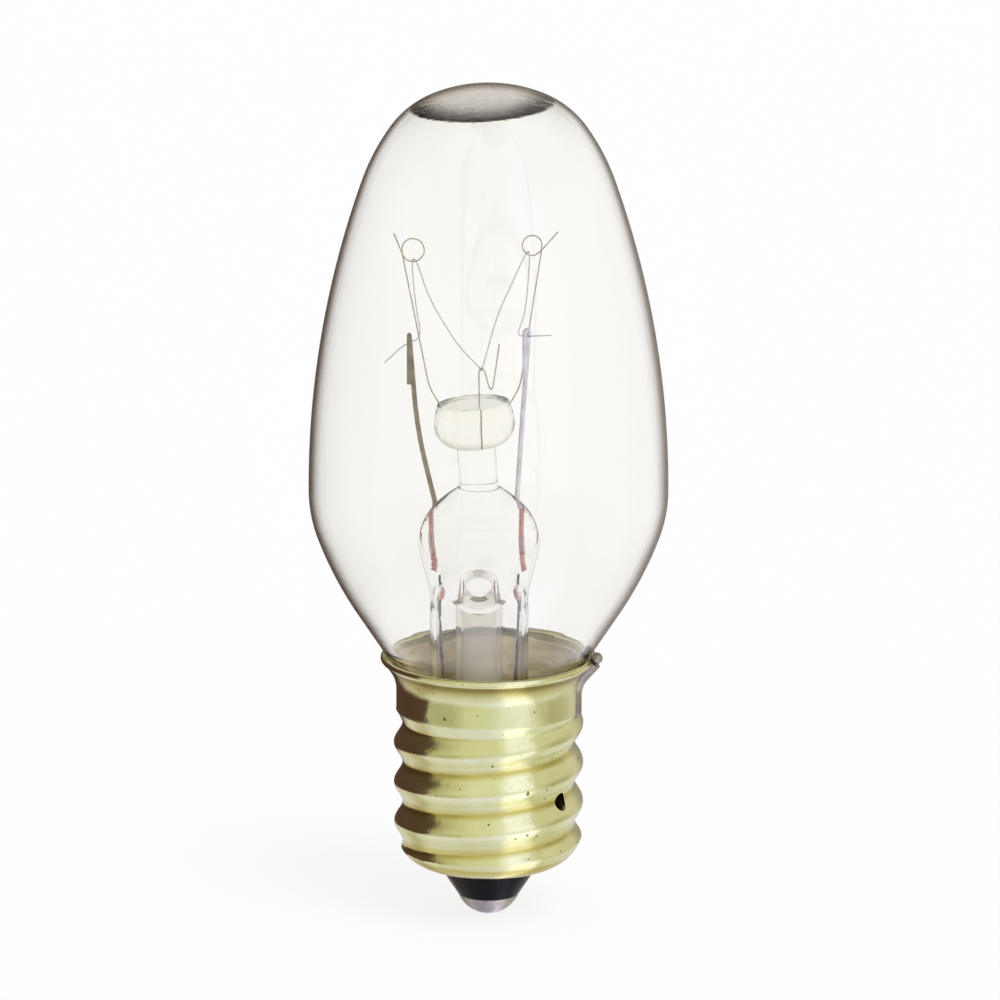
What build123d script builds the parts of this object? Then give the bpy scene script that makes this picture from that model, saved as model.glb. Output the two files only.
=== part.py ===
from build123d import *
import os
from math import asin, atan2, copysign, cos, degrees, pi, radians, sin, sqrt, tan

# Clear dryer bulb with a candelabra screw base.
# Millimetres, +Z up along the lamp axis, origin at the centre of the flat on the tip contact.
# +X is to the right and -Y to the front of the flat side of the glass press.

os.makedirs("parts", exist_ok=True)

# Glass envelope: its outline is a chain of tangent arcs above and below the widest ring
overall_length = 52.2
envelope_radius = 11.03
glass_wall = 0.55
flank_turn = 19.6
shoulder_radius = 13.4
shoulder_turn = 15.9
brow_radius = 5.7
brow_turn = 31.2
belly_radius = 8.14
belly_turn = 20.1
taper_radius = 23.4
taper_turn = 13.1
neck_fillet_radius = 3.0
neck_radius = 4.55
neck_top_drop = 0.13
seal_drop = 4.6

# Rolled screw shell
thread_pitch = 2.54
thread_crest_radius = 5.86
thread_root_radius = 5.33
thread_start_height = 2.1
shell_wall = 0.2
lip_radius = 3.1
lip_height = 3.1
bottom_slope = 10
corner_radius = 2.5
crest_clearance = 0.04
collar_radius = 5.7
collar_height = 13.2
runout_length = 0.8
collar_length = 1.2
flare_bend_radius = 2.2
flare_angle = 34
rim_radius = 6.66
vent_width = 0.55
vent_length = 0.95
vent_height = 8.0
vent_azimuth = -35
vent_tilt = 25

# Insulator, tip contact and its solder
insulator_top_height = 4.05
insulator_tip_radius = 1.9
insulator_tip_height = 1.24
insulator_dish_radius = 2.2
insulator_throat_height = 2.4
eyelet_radius = 1.7
eyelet_sheet = 0.25
eyelet_barrel_radius = 0.62
eyelet_barrel_length = 1.05
tip_flat_radius = 0.45
solder_plug_length = 0.5

# Solder bead that joins the right outer lead to the rim
bead_azimuth = -14
bead_length = 3.2
bead_radius = 0.5
bead_sink = 0.3
bead_knob_radius = 0.36
bead_knob_reach = 0.2
bead_knob_rise = 0.25

# Cement ring between the neck and the shell
cement_top_drop = 0.4
cement_bottom_rise = 0.1

# Glass stem: flare, tube, flattened press, arbor and button
stem_offset = -0.58
flange_thickness = 0.6
flare_length = 3.4
stem_radius = 3.05
stem_wall = 0.37
stem_length = 11.0
stem_bore_rise = 2.4
web_radius = 2.3
web_rise = 0.3
pinch_rise = 2.1
pinch_half_width = 3.35
pinch_half_thickness = 2.5
flat_rise = 4.8
press_length = 6.6
press_half_width = 3.66
press_half_thickness = 1.45
press_fullness = 2.6
section_points = 24
shoulder_half_width = 2.65
shoulder_half_thickness = 1.3
arbor_radius = 1.18
arbor_foot_rise = 1.0
arbor_foot_flare = 0.12
arbor_lean = 4
arbor_length = 2.6
button_radius = 2.48
button_top_radius = 2.2
button_height = 2.7
button_widest_rise = 1.35
button_edge_radius = 0.15

# Exhaust tube, sealed off inside the base, and the hole it was pumped through
exhaust_radius = 1.45
exhaust_wall = 0.4
exhaust_overhang = 2.7
exhaust_tip_wall = 0.8
exhaust_channel_rise = 1.5
blow_hole_radius = 0.8
blow_hole_tilt = 25

# Lead wires: outer lead, copper-clad seal wire and inner lead on each side of the stem
outer_lead_diameter = 0.2
seal_wire_diameter = 0.34
inner_lead_diameter = 0.3
lead_exit_offset = 2.5
lead_straight = 0.9
joint_overlap = 0.3
seal_wire_reach = 1.9
outer_lead_drift = 0.6
lead_depth_drift = 0.4
lead_dip = 1.1
lead_neck_gap = 0.15
lead_neck_rise = 0.35
lead_rim_reach = 0.35
lead_solder_depth = 0.6
seal_bend_rise = 1.6
left_weld_offset = -2.83
right_weld_offset = 2.51
weld_drop = 0.4
elbow_rise = 0.35
left_elbow_offset = -2.68
right_elbow_offset = 2.32
knee_rise = 4.6
left_knee_offset = -3.78
right_knee_offset = 2.6
clamp_tail_length = 3.0
clamp_squeeze = 0.6
clamp_grip_drop = 0.4
left_clamp_offset = -4.25
left_clamp_rise = 10.55
right_clamp_offset = 3.06
right_clamp_rise = 10.85

# Molybdenum supports that stand in the button
support_diameter = 0.14
ring_corners = 6
loop_step = 0.22
support_depth = 0.5
support_root_depth = 0.75
support_root_drop = 0.9
support_foot_reach = 0.3
support_foot_rise = 0.85
left_loop_offset = -4.02
left_loop_rise = 15.8
left_loop_radius = 0.69
left_tail_length = 1.1
left_tail_heading = 111
right_loop_offset = 3.25
right_loop_rise = 16.08
right_loop_radius = 0.6
right_tail_length = 1.35
right_tail_heading = 48
hook_offset = 0.06
hook_depth = -0.3
hook_root_rise = 0.5
hook_rise = 8.45
hook_width = 0.32
hook_span = 0.6
hook_drop = 1.45
hook_foot_width = 0.2
hook_flare = 0.4
hook_tip_rise = 1.5

# Filament
filament_diameter = 0.13
filament_tail_length = 1.5
left_tail_drop = 1.3
left_seat_angle = -86
right_seat_angle = -124

# Curves of the filament's spans: share of the way along a span, and sideways and upward bow there
left_leg_bows = [(0.16, 0.62, 0), (0.4, 0.3, 0)]
long_span_bows = [(0.3, -0.28, -0.42), (0.7, -0.28, -0.42)]
right_span_bows = [(0.45, -0.35, 0.05)]
right_leg_bows = [(0.7, -0.1, 0)]
clamp_bow = 0.15
hook_bow = 0.42

# Heights and radii that follow from the sizes above
shoulder_angle = flank_turn + shoulder_turn
brow_angle = shoulder_angle + brow_turn
cone_angle = belly_turn + taper_turn

seal_height = collar_height - seal_drop
runout_height = collar_height - runout_length
collar_top_height = collar_height + collar_length
flare_bend_gain = flare_bend_radius * (1 - cos(radians(flare_angle)))
flare_run = (rim_radius - collar_radius - flare_bend_gain) / sin(radians(flare_angle))
rim_height = (
    collar_top_height
    + flare_bend_radius * sin(radians(flare_angle))
    + flare_run * cos(radians(flare_angle))
)

# The glass stands on the neck: the cone and belly set the widest height, the flank takes up the rest
cone_foot_radius = neck_radius + neck_fillet_radius * (1 - cos(radians(cone_angle)))
cone_top_radius = (
    envelope_radius
    - belly_radius * (1 - cos(radians(belly_turn)))
    - taper_radius * (cos(radians(belly_turn)) - cos(radians(cone_angle)))
)
widest_height = (
    collar_height
    - neck_top_drop
    + neck_fillet_radius * sin(radians(cone_angle))
    + (cone_top_radius - cone_foot_radius) / tan(radians(cone_angle))
    + taper_radius * (sin(radians(cone_angle)) - sin(radians(belly_turn)))
    + belly_radius * sin(radians(belly_turn))
)
shoulder_reach = shoulder_radius * (cos(radians(flank_turn)) - cos(radians(shoulder_angle)))
shoulder_rise = shoulder_radius * (sin(radians(shoulder_angle)) - sin(radians(flank_turn)))
brow_reach = brow_radius * (cos(radians(shoulder_angle)) - cos(radians(brow_angle)))
brow_rise = brow_radius * (sin(radians(brow_angle)) - sin(radians(shoulder_angle)))
crown_ratio = (1 - sin(radians(brow_angle))) / cos(radians(brow_angle))
crown_reach = envelope_radius - shoulder_reach - brow_reach
flank_rise = overall_length - widest_height - shoulder_rise - brow_rise - crown_ratio * crown_reach
flank_radius = flank_rise / (
    sin(radians(flank_turn)) - crown_ratio * (1 - cos(radians(flank_turn)))
)
crown_radius = (crown_reach - flank_radius * (1 - cos(radians(flank_turn)))) / cos(
    radians(brow_angle)
)

# The stem stands on the seal, and the leads, supports and filament follow the press
flare_mouth_radius = neck_radius - glass_wall
stem_bore_radius = stem_radius - stem_wall
press_foot_height = seal_height + stem_length
stem_bore_top = press_foot_height + stem_bore_rise
press_top_height = press_foot_height + press_length
arbor_foot_height = press_top_height + arbor_foot_rise
weld_height = press_top_height - weld_drop
lead_joint_height = stem_bore_top - seal_wire_reach
exhaust_tip_height = seal_height - exhaust_overhang
left_clamp_height = press_top_height + left_clamp_rise
right_clamp_height = press_top_height + right_clamp_rise
left_loop_height = press_top_height + left_loop_rise
right_loop_height = press_top_height + right_loop_rise
hook_height = press_top_height + hook_rise


def bend_radii(points, share=0.45):
    """Radius of each corner of a route, as large as a share of its shorter run allows."""
    corners = [Vector(*point) for point in points]
    radii = []
    for before, corner, after in zip(corners, corners[1:], corners[2:]):
        incoming, outgoing = corner - before, after - corner
        turn = radians(incoming.get_angle(outgoing))
        radii.append(share * min(incoming.length, outgoing.length) / tan(turn / 2))
    return radii


def round_wire(points, diameter):
    """Round wire along straight runs joined by tangent arcs."""
    with BuildPart() as wire:
        with BuildLine() as route:
            FilletPolyline(*points, radius=bend_radii(points))
        with BuildSketch(Plane(origin=route.line @ 0, z_dir=route.line % 0)):
            Circle(diameter / 2)
        sweep()
    return wire.part


def polar(radius, azimuth, height):
    """Point at a radius and azimuth about the lamp axis."""
    return (radius * cos(radians(azimuth)), radius * sin(radians(azimuth)), height)


def envelope_outline(inset):
    """Half outline of the bulb in the XZ plane, moved inwards by inset: crown and foot points."""
    widest = (envelope_radius - inset, widest_height)
    flank = JernArc(widest, (0, 1), flank_radius - inset, flank_turn)
    shoulder = JernArc(flank @ 1, flank % 1, shoulder_radius - inset, shoulder_turn)
    brow = JernArc(shoulder @ 1, shoulder % 1, brow_radius - inset, brow_turn)
    crown = JernArc(brow @ 1, brow % 1, crown_radius - inset, 90 - brow_angle)
    belly = JernArc(widest, (0, -1), belly_radius - inset, -belly_turn)
    taper = JernArc(belly @ 1, belly % 1, taper_radius - inset, -taper_turn)
    bend = neck_fillet_radius + inset
    cone_end_radius = neck_radius - inset + bend * (1 - cos(radians(cone_angle)))
    cone_run = ((taper @ 1).X - cone_end_radius) / sin(radians(cone_angle))
    cone = Line(taper @ 1, (taper @ 1) + (taper % 1) * cone_run)
    neck_bend = JernArc(cone @ 1, cone % 1, bend, cone_angle)
    neck = Line(neck_bend @ 1, (neck_radius - inset, seal_height))
    return crown @ 1, neck @ 1


# Glass envelope
with BuildPart() as glass_envelope:
    with BuildSketch(Plane.XZ):
        with BuildLine():
            outer_crown, outer_foot = envelope_outline(0)
            inner_crown, inner_foot = envelope_outline(glass_wall)
            Line(outer_crown, inner_crown)
            Line(outer_foot, inner_foot)
        make_face()
    revolve(axis=Axis.Z)
glass_envelope.part.label = "glass_envelope"

# Solid form of the envelope's outside, which the cement is moulded around
with BuildPart() as envelope_form:
    with BuildSketch(Plane.XZ):
        with BuildLine():
            form_crown, form_foot = envelope_outline(0)
            Polyline(form_crown, (0, seal_height), form_foot)
        make_face()
    revolve(axis=Axis.Z)


def thread_form(inset):
    """Rolled thread: a circle carried round a small helix without turning."""
    with BuildPart() as thread:
        with BuildLine() as helix:
            Helix(
                pitch=thread_pitch,
                height=collar_height - thread_start_height,
                radius=(thread_crest_radius - thread_root_radius) / 2,
                center=(0, 0, thread_start_height),
            )
        foot = helix.line @ 0
        with BuildSketch(Plane.XY.offset(thread_start_height)) as section:
            with Locations((foot.X, foot.Y)):
                Circle((thread_crest_radius + thread_root_radius) / 2 - inset)
        sweep(sections=section.sketch, path=helix.line, normal=(0, 0, 1))
    return thread.part


def base_limit(inset):
    """Turned form that rounds the thread off at the bottom and runs it out under the collar."""
    limit_radius = thread_crest_radius + crest_clearance
    slope = radians(bottom_slope)
    corner_x = limit_radius - corner_radius * (1 - sin(slope))
    corner_z = lip_height + (corner_x - lip_radius) * tan(slope)
    centre = Vector(corner_x - corner_radius * sin(slope), corner_z + corner_radius * cos(slope))
    reach = corner_radius - inset
    start = centre + Vector(sin(slope), -cos(slope)) * reach
    lip = start - Vector(cos(slope), sin(slope)) * ((start.X - lip_radius) / cos(slope))
    end = centre + Vector(reach, 0)
    with BuildPart() as limit:
        with BuildSketch(Plane.XZ):
            with BuildLine():
                Line(lip, start)
                RadiusArc(start, end, -reach)
                Polyline(
                    end,
                    (limit_radius - inset, runout_height),
                    (collar_radius - inset, collar_height),
                    (0, collar_height),
                    (0, lip.Y),
                    lip,
                )
            make_face()
        revolve(axis=Axis.Z)
    return limit.part


def collar_form(inset, overrun):
    """Turned form of the plain collar and its flared rim, with the flare lengthened by overrun."""
    angle = radians(flare_angle)
    with BuildPart() as collar:
        with BuildSketch(Plane.XZ):
            with BuildLine():
                wall = Line(
                    (collar_radius - inset, collar_height),
                    (collar_radius - inset, collar_top_height),
                )
                bend = JernArc(wall @ 1, (0, 1), flare_bend_radius + inset, -flare_angle)
                flare = Line(bend @ 1, (bend @ 1) + (bend % 1) * (flare_run + overrun))
                edge = flare @ 1 + Vector(-cos(angle), sin(angle)) * (2 * shell_wall)
                Polyline(
                    flare @ 1,
                    edge,
                    (0, edge.Y),
                    (0, runout_height),
                    (thread_root_radius - inset, runout_height),
                    wall @ 0,
                )
            make_face()
        revolve(axis=Axis.Z)
    return collar.part


def shell_form(inset, overrun):
    """The screw shell as a solid, moved inwards by inset."""
    with BuildPart() as form:
        add(thread_form(inset))
        add(base_limit(inset), mode=Mode.INTERSECT)
        add(collar_form(inset, overrun))
    return form.part


# Hollow of the shell, open at the rim and through the lip
rim_overrun = 3 * shell_wall
collar_inside = collar_form(shell_wall, rim_overrun)
with BuildPart() as shell_cavity:
    add(shell_form(shell_wall, rim_overrun))
    with BuildSketch(Plane.XY.offset(lip_height)):
        Circle(lip_radius)
    extrude(amount=2 * shell_wall)

# Route of the right outer lead: down the flare tube, under the flange, up beside the neck, over the rim
stem_right_x = stem_offset + lead_exit_offset
neck_lead_radius = neck_radius + outer_lead_diameter / 2 + lead_neck_gap
cone_tangent = tan(radians(cone_angle))
rim_lead_radius = rim_radius - shell_wall
right_outer_route = [
    (stem_right_x, 0, lead_joint_height + joint_overlap),
    (stem_right_x, 0, lead_joint_height - lead_straight),
    (stem_right_x - outer_lead_drift, 0, seal_height + lead_straight),
    (stem_right_x - outer_lead_drift, -lead_depth_drift, seal_height - flange_thickness - lead_dip),
    polar(neck_lead_radius, bead_azimuth, seal_height - flange_thickness - lead_dip),
    polar(neck_lead_radius, bead_azimuth, collar_height + lead_neck_rise),
    polar(rim_lead_radius, bead_azimuth, rim_height + outer_lead_diameter / 2),
    polar(rim_radius + lead_rim_reach, bead_azimuth, rim_height + outer_lead_diameter),
]

# Route of the left outer lead: down the flare tube, round the exhaust tip and through the eyelet
stem_left_x = stem_offset - lead_exit_offset
left_outer_route = [
    (stem_left_x, 0, lead_joint_height + joint_overlap),
    (stem_left_x, 0, lead_joint_height - lead_straight),
    (stem_left_x + outer_lead_drift, 0, seal_height + lead_straight),
    (stem_left_x + outer_lead_drift, 0, exhaust_tip_height),
    (0, 0, insulator_throat_height + lead_straight),
    (0, 0, insulator_tip_height - lead_solder_depth),
]

with BuildPart() as outer_lead_left:
    add(round_wire(left_outer_route, outer_lead_diameter))
    split(bisect_by=Plane.XY.offset(lead_joint_height), keep=Keep.BOTTOM)
outer_lead_left.part.label = "outer_lead_left"

with BuildPart() as outer_lead_right:
    add(round_wire(right_outer_route, outer_lead_diameter))
    split(bisect_by=Plane.XY.offset(lead_joint_height), keep=Keep.BOTTOM)
outer_lead_right.part.label = "outer_lead_right"


def seal_route(side, weld_offset):
    """Route of a seal wire from the stem's bore to its weld, on one side of the stem."""
    exit_x = stem_offset + side * lead_exit_offset
    weld_x = stem_offset + weld_offset
    return [
        (exit_x, 0, lead_joint_height - joint_overlap),
        (exit_x, 0, stem_bore_top + seal_wire_diameter),
        (weld_x, 0, stem_bore_top + seal_bend_rise),
        (weld_x, 0, weld_height + joint_overlap),
    ]


with BuildPart() as seal_wire_left:
    add(round_wire(seal_route(-1, left_weld_offset), seal_wire_diameter))
    split(bisect_by=Plane.XY.offset(lead_joint_height), keep=Keep.TOP)
    split(bisect_by=Plane.XY.offset(weld_height), keep=Keep.BOTTOM)
seal_wire_left.part.label = "seal_wire_left"

with BuildPart() as seal_wire_right:
    add(round_wire(seal_route(1, right_weld_offset), seal_wire_diameter))
    split(bisect_by=Plane.XY.offset(lead_joint_height), keep=Keep.TOP)
    split(bisect_by=Plane.XY.offset(weld_height), keep=Keep.BOTTOM)
seal_wire_right.part.label = "seal_wire_right"


# Rings at the tops of the outer supports, and the hook of the middle one
def ring_entry(foot, centre, radius, side):
    """Direction, in degrees in the XZ plane, of the line from foot that touches the ring."""
    toward = Vector(centre[0] - foot[0], centre[1] - foot[1])
    heading = degrees(atan2(toward.Y, toward.X))
    return heading - side * degrees(asin(radius / toward.length))


def ring_point(centre, radius, angle, fraction):
    """Point on a ring, stepping forward along Y as the turn goes on."""
    return (
        centre[0] + radius * cos(radians(angle)),
        loop_step * (0.5 - fraction),
        centre[1] + radius * sin(radians(angle)),
    )


def pigtail_route(root, foot, centre, radius, side, tail_heading, tail_length):
    """Wire from its root in the button to a ring, once round it and out in a tail."""
    heading = ring_entry(foot, centre, radius, side)
    turn = (tail_heading - heading) * side % 360
    step = turn / ring_corners
    start = heading - side * 90
    points = [(root[0], support_depth, root[1]), (foot[0], support_depth, foot[1])]
    for corner in range(ring_corners):
        angle = start + side * step * (corner + 0.5)
        outer_reach = radius / cos(radians(step / 2))
        points.append(ring_point(centre, outer_reach, angle, (corner + 0.5) / ring_corners))
    leave = ring_point(centre, radius, start + side * turn, 1)
    reach = (tail_length * cos(radians(tail_heading)), tail_length * sin(radians(tail_heading)))
    points.append((leave[0] + reach[0], leave[1], leave[2] + reach[1]))
    return points


def ring_seat(centre, radius, side, foot, tail_heading, angle):
    """Place of the filament where it hangs on the inside of a ring at an angle."""
    start = ring_entry(foot, centre, radius, side) - side * 90
    turn = (tail_heading - start - side * 90) * side % 360
    fraction = ((angle - start) * side % 360) / turn
    return Vector(*ring_point(centre, radius - wire_touch, angle, fraction))


wire_touch = (support_diameter + filament_diameter) / 2
button_foot_height = arbor_foot_height + arbor_length
button_top_height = button_foot_height + button_height
button_x = stem_offset - (arbor_length + button_height / 2) * sin(radians(arbor_lean))

left_centre = (stem_offset + left_loop_offset, left_loop_height)
left_root = (button_x - button_radius + support_root_depth, button_top_height - support_root_drop)
left_foot = (button_x - button_radius - support_foot_reach, button_top_height + support_foot_rise)
left_route = pigtail_route(
    left_root, left_foot, left_centre, left_loop_radius, -1, left_tail_heading, left_tail_length
)
right_centre = (stem_offset + right_loop_offset, right_loop_height)
right_root = (button_x + button_radius - support_root_depth, button_top_height - support_root_drop)
right_foot = (button_x + button_radius + support_foot_reach, button_top_height + support_foot_rise)
right_route = pigtail_route(
    right_root, right_foot, right_centre, right_loop_radius, 1, right_tail_heading, right_tail_length
)

with BuildPart() as support_left:
    add(round_wire(left_route, support_diameter))
support_left.part.label = "support_left"

with BuildPart() as support_right:
    add(round_wire(right_route, support_diameter))
support_right.part.label = "support_right"

hook_x = stem_offset + hook_offset
hook_top = hook_height + support_diameter / 2
hook_route = [
    (hook_x, hook_depth, button_foot_height + hook_root_rise),
    (hook_x - hook_width / 4, hook_depth, hook_top),
    (hook_x + hook_width * 3 / 4, hook_depth, hook_top),
    (hook_x + hook_span, hook_depth, hook_top - hook_drop),
    (hook_x + hook_span + hook_foot_width, hook_depth, hook_top - hook_drop),
    (hook_x + hook_span + hook_foot_width + hook_flare, hook_depth, hook_top + hook_tip_rise),
]
with BuildPart() as support_centre:
    add(round_wire(hook_route, support_diameter))
support_centre.part.label = "support_centre"

# Seats of the filament in its clamps, in the rings and under the hook
left_clamp_x = stem_offset + left_clamp_offset
right_clamp_x = stem_offset + right_clamp_offset
left_fold = inner_lead_diameter + clamp_squeeze * filament_diameter
right_fold = left_fold * sqrt(0.5)
left_grip = Vector(left_clamp_x, -left_fold / 2, left_clamp_height - clamp_grip_drop)
right_grip = Vector(
    right_clamp_x - right_fold / 2, -right_fold / 2, right_clamp_height - clamp_grip_drop
)
left_seat = ring_seat(
    left_centre, left_loop_radius, -1, left_foot, left_tail_heading, left_seat_angle
)
right_seat = ring_seat(
    right_centre, right_loop_radius, 1, right_foot, right_tail_heading, right_seat_angle
)
hook_seat = Vector(hook_x + hook_width / 4, hook_depth, hook_height - filament_diameter / 2)
beside = Vector(0, 1.5 * wire_touch, 0)
half_bend = Vector(wire_touch, 0, 0)


def bowed(start, end, bows):
    """Points of a span between two seats, bowed off the straight line."""
    return [
        start + (end - start) * share + Vector(sideways, 0, upward)
        for share, sideways, upward in bows
    ]


filament_route = [
    left_grip + Vector(-filament_tail_length, 0, -left_tail_drop),
    left_grip + Vector(-inner_lead_diameter, 0, -clamp_bow),
    left_grip + Vector(2 * inner_lead_diameter, 0, clamp_bow),
    *bowed(left_grip, left_seat, left_leg_bows),
    left_seat - beside - half_bend,
    left_seat + beside + half_bend,
    *bowed(left_seat, hook_seat, long_span_bows),
    hook_seat + beside + Vector(-hook_bow, 0, hook_bow),
    hook_seat + beside,
    hook_seat - beside,
    hook_seat - beside + Vector(hook_bow / 3, 0, hook_bow),
    *bowed(hook_seat, right_seat, right_span_bows),
    right_seat - beside - half_bend,
    right_seat + beside + half_bend,
    *bowed(right_seat, right_grip, right_leg_bows),
    right_grip + Vector(-2 * inner_lead_diameter, 0, clamp_bow),
    right_grip + Vector(-inner_lead_diameter, 0, 0),
    right_grip + Vector(filament_tail_length, 0, clamp_bow / 2),
]
with BuildPart() as filament:
    add(round_wire([tuple(point) for point in filament_route], filament_diameter))
filament.part.label = "filament"


def inner_route(weld_offset, elbow_offset, knee_offset, clamp_x, clamp_height, fold_x, fold_y):
    """Route of an inner lead from its weld to the clamp, where it folds back on itself."""
    return [
        (stem_offset + weld_offset, 0, weld_height - joint_overlap),
        (stem_offset + elbow_offset, 0, weld_height + elbow_rise),
        (stem_offset + knee_offset, 0, press_top_height + knee_rise),
        (clamp_x, 0, clamp_height),
        (clamp_x + fold_x, fold_y, clamp_height),
        (clamp_x + fold_x, fold_y, clamp_height - clamp_tail_length),
    ]


# Inner leads, each crimped round its end of the filament
with BuildPart() as inner_lead_left:
    add(
        round_wire(
            inner_route(
                left_weld_offset, left_elbow_offset, left_knee_offset,
                left_clamp_x, left_clamp_height, 0, -left_fold,
            ),
            inner_lead_diameter,
        )
    )
    split(bisect_by=Plane.XY.offset(weld_height), keep=Keep.TOP)
    add(filament.part, mode=Mode.SUBTRACT)
inner_lead_left.part.label = "inner_lead_left"

with BuildPart() as inner_lead_right:
    add(
        round_wire(
            inner_route(
                right_weld_offset, right_elbow_offset, right_knee_offset,
                right_clamp_x, right_clamp_height, -right_fold, -right_fold,
            ),
            inner_lead_diameter,
        )
    )
    split(bisect_by=Plane.XY.offset(weld_height), keep=Keep.TOP)
    add(filament.part, mode=Mode.SUBTRACT)
inner_lead_right.part.label = "inner_lead_right"


def round_section(height, radius):
    """Circle across the stem."""
    with BuildSketch(Plane.XY.offset(height)) as section:
        with Locations((stem_offset, 0)):
            Circle(radius)
    return section.sketch


def press_section(height, half_width, half_thickness, fullness):
    """Rounded outline across the stem: an ellipse at fullness 2, squarer above it."""
    outline = []
    for step in range(section_points):
        angle = 2 * pi * step / section_points
        across, through = cos(angle), sin(angle)
        outline.append(
            (
                stem_offset + half_width * copysign(abs(across) ** (2 / fullness), across),
                half_thickness * copysign(abs(through) ** (2 / fullness), through),
            )
        )
    with BuildSketch(Plane.XY.offset(height)) as section:
        with BuildLine():
            Spline(*outline, periodic=True)
        make_face()
    return section.sketch


# Stem: the flared tube, flattened into the press, carries the arbor and its button
arbor_plane = Plane(
    origin=(stem_offset, 0, arbor_foot_height),
    x_dir=(cos(radians(arbor_lean)), 0, sin(radians(arbor_lean))),
    z_dir=(0, -1, 0),
)
arbor_axis = Axis(
    (stem_offset, 0, arbor_foot_height), (-sin(radians(arbor_lean)), 0, cos(radians(arbor_lean)))
)
exhaust_bore = exhaust_radius - exhaust_wall
web_height = press_foot_height + web_rise
with BuildPart() as press_web:
    with BuildSketch(Plane.XZ):
        with Locations((stem_offset, web_height + web_radius)):
            Circle(web_radius)
        with Locations((stem_offset, web_height + 2 * web_radius)):
            Rectangle(2 * web_radius, 2 * web_radius)
    extrude(amount=stem_radius, both=True)

with BuildPart() as stem_bore:
    with BuildSketch(Plane.XY.offset(seal_height + flare_length)):
        with Locations((stem_offset, 0)):
            Circle(stem_bore_radius)
    extrude(amount=stem_bore_top - seal_height - flare_length)
    add(press_web.part, mode=Mode.SUBTRACT)

blow_hole_plane = Plane(
    origin=(stem_offset, 0, web_height + exhaust_channel_rise - blow_hole_radius),
    z_dir=(0, -cos(radians(blow_hole_tilt)), sin(radians(blow_hole_tilt))),
)
foot_arbor_radius = arbor_radius + arbor_foot_flare

with BuildPart() as stem:
    with BuildSketch(Plane.XY.offset(seal_height - flange_thickness)):
        Circle(neck_radius)
    extrude(amount=flange_thickness)
    with BuildSketch(Plane.XY.offset(seal_height)):
        Circle(flare_mouth_radius)
    with BuildSketch(Plane.XY.offset(seal_height + flare_length)):
        with Locations((stem_offset, 0)):
            Circle(stem_radius)
    loft()
    with BuildSketch(Plane.XY.offset(seal_height + flare_length)):
        with Locations((stem_offset, 0)):
            Circle(stem_radius)
    extrude(amount=press_foot_height - seal_height - flare_length)
    loft(
        sections=[
            round_section(press_foot_height, stem_radius),
            press_section(
                press_foot_height + pinch_rise, pinch_half_width, pinch_half_thickness, 2
            ),
            press_section(
                press_foot_height + flat_rise, press_half_width, press_half_thickness, press_fullness
            ),
            press_section(press_top_height, shoulder_half_width, shoulder_half_thickness, 2),
            round_section(arbor_foot_height, foot_arbor_radius),
        ]
    )
    with BuildSketch(arbor_plane):
        with BuildLine():
            widest = (button_radius, arbor_length + button_widest_rise)
            under = TangentArc(widest, (arbor_radius, arbor_length), tangent=(0, -1))
            over = TangentArc(
                widest, (button_top_radius, arbor_length + button_height), tangent=(0, 1)
            )
            Polyline(
                over @ 1,
                (0, arbor_length + button_height),
                (0, -arbor_foot_rise / 2),
                (arbor_radius, -arbor_foot_rise / 2),
                under @ 1,
            )
        make_face()
    revolve(axis=arbor_axis)
    with BuildSketch(Plane.XY.offset(seal_height - flange_thickness)):
        Circle(flare_mouth_radius - stem_wall)
    extrude(amount=flange_thickness, mode=Mode.SUBTRACT)
    with BuildSketch(Plane.XY.offset(seal_height)):
        Circle(flare_mouth_radius - stem_wall)
    with BuildSketch(Plane.XY.offset(seal_height + flare_length)):
        with Locations((stem_offset, 0)):
            Circle(stem_bore_radius)
    loft(mode=Mode.SUBTRACT)
    add(stem_bore.part, mode=Mode.SUBTRACT)
    with BuildSketch(Plane.XY.offset(web_height)):
        with Locations((stem_offset, 0)):
            Circle(exhaust_bore)
    extrude(amount=exhaust_channel_rise, mode=Mode.SUBTRACT)
    with BuildSketch(blow_hole_plane):
        Circle(blow_hole_radius)
    extrude(amount=2 * stem_radius, mode=Mode.SUBTRACT)
    for wire in (
        seal_wire_left, seal_wire_right, inner_lead_left, inner_lead_right,
        support_left, support_right, support_centre,
    ):
        add(wire.part, mode=Mode.SUBTRACT)
stem.part.label = "stem"

# Exhaust tube, with its lower end melted shut
with BuildPart() as exhaust_tube:
    with BuildSketch(Plane(origin=(stem_offset, 0, 0), x_dir=(1, 0, 0), z_dir=(0, -1, 0))):
        with BuildLine():
            tip_round = Vector(0, exhaust_tip_height + exhaust_radius)
            outer_tip = CenterArc(tip_round, exhaust_radius, -90, 90)
            inner_end = exhaust_tip_height + exhaust_tip_wall + exhaust_bore
            inner_tip = CenterArc((0, inner_end), exhaust_bore, -90, 90)
            Polyline(
                outer_tip @ 1,
                (exhaust_radius, web_height + web_radius),
                (exhaust_bore, web_height + web_radius),
                inner_tip @ 1,
            )
            Line(outer_tip @ 0, inner_tip @ 0)
        make_face()
    revolve(axis=Axis((stem_offset, 0, 0), (0, 0, 1)))
    add(press_web.part, mode=Mode.SUBTRACT)
exhaust_tube.part.label = "exhaust_tube"

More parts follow.
